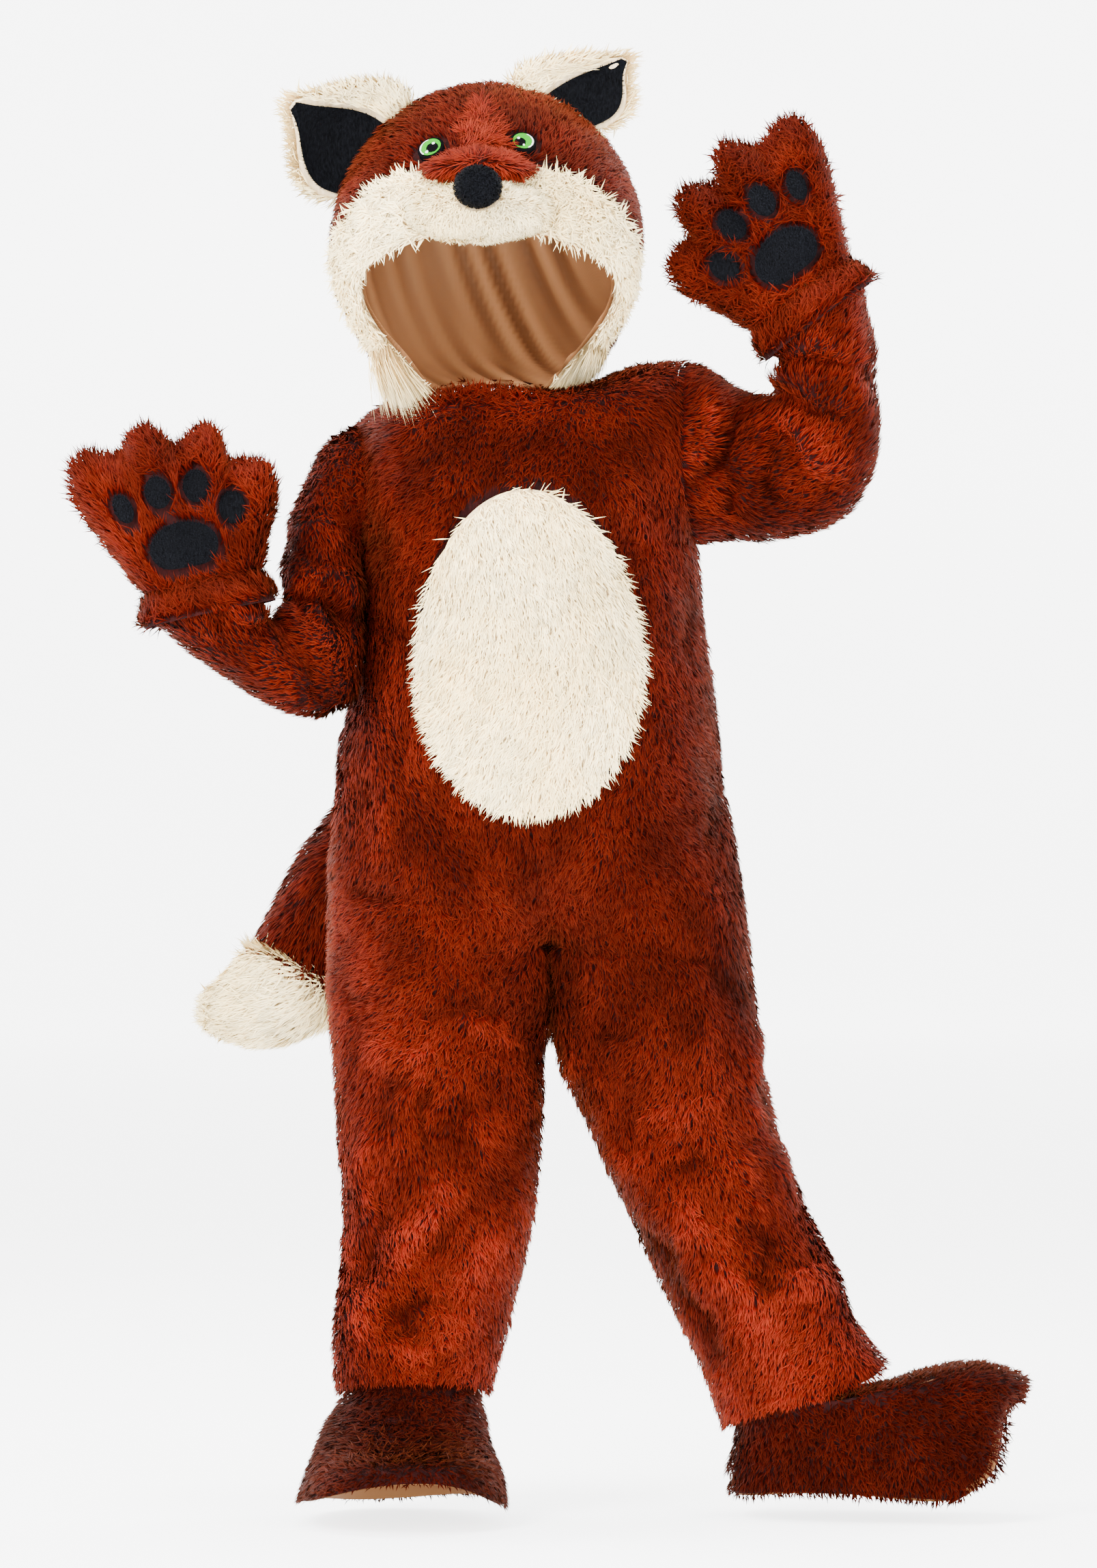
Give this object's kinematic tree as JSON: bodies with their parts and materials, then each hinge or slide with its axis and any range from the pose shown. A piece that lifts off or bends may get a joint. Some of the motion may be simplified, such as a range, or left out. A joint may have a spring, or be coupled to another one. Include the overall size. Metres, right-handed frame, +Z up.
{
  "type": "fox costume",
  "caption": "Child's plush fox costume in its worn pose: a hollow jumpsuit with a fox-face hood, paw mitts, a stuffed tail and shoe covers.",
  "frame": {"origin": "between the shoulders, at the height where the wearer's shoulders carry the suit", "axes": "+Z up along the body, -Y out of the front of the suit, +X towards the wearer's left"},
  "size_m": [0.7805, 0.4127, 1.1984],
  "materials": {
    "rust_plush": "long-pile rust plush",
    "cream_plush": "long-pile cream plush",
    "black_minky": "short-pile black plush",
    "tan_satin": "tan satin lining",
    "eye_black": "black satin-stitch embroidery",
    "eye_green": "green satin-stitch embroidery"
  },
  "bodies": {
    "root": {"front_right": "rust_plush", "front_left": "rust_plush", "back_right": "rust_plush", "back_left": "rust_plush", "sleeve_right": "rust_plush", "sleeve_left": "rust_plush", "belly_patch": "cream_plush", "hood_right": "rust_plush", "hood_left": "rust_plush", "hood_trim_right": "cream_plush", "hood_trim_left": "cream_plush", "hood_lining": "tan_satin", "muzzle": "cream_plush", "muzzle_bridge": "rust_plush", "nose": "black_minky", "eye_right": "eye_black", "eye_left": "eye_black", "iris_right": "eye_green", "iris_left": "eye_green", "ear_outer_right": "cream_plush", "ear_outer_left": "cream_plush", "ear_inner_right": "black_minky", "ear_inner_left": "black_minky", "mitt_palm_right": "rust_plush", "mitt_palm_left": "rust_plush", "mitt_back_right": "rust_plush", "mitt_back_left": "rust_plush", "mitt_cuff_right": "rust_plush", "mitt_cuff_left": "rust_plush", "pad_main_right": "black_minky", "pad_main_left": "black_minky", "pad_toe_1_right": "black_minky", "pad_toe_2_right": "black_minky", "pad_toe_3_right": "black_minky", "pad_toe_4_right": "black_minky", "pad_toe_1_left": "black_minky", "pad_toe_2_left": "black_minky", "pad_toe_3_left": "black_minky", "pad_toe_4_left": "black_minky", "tail": "rust_plush", "tail_tip": "cream_plush", "shoe_cover_right": "rust_plush", "shoe_cover_left": "rust_plush", "shoe_cover_lining_right": "tan_satin", "shoe_cover_lining_left": "tan_satin"}
  },
  "joints": []
}
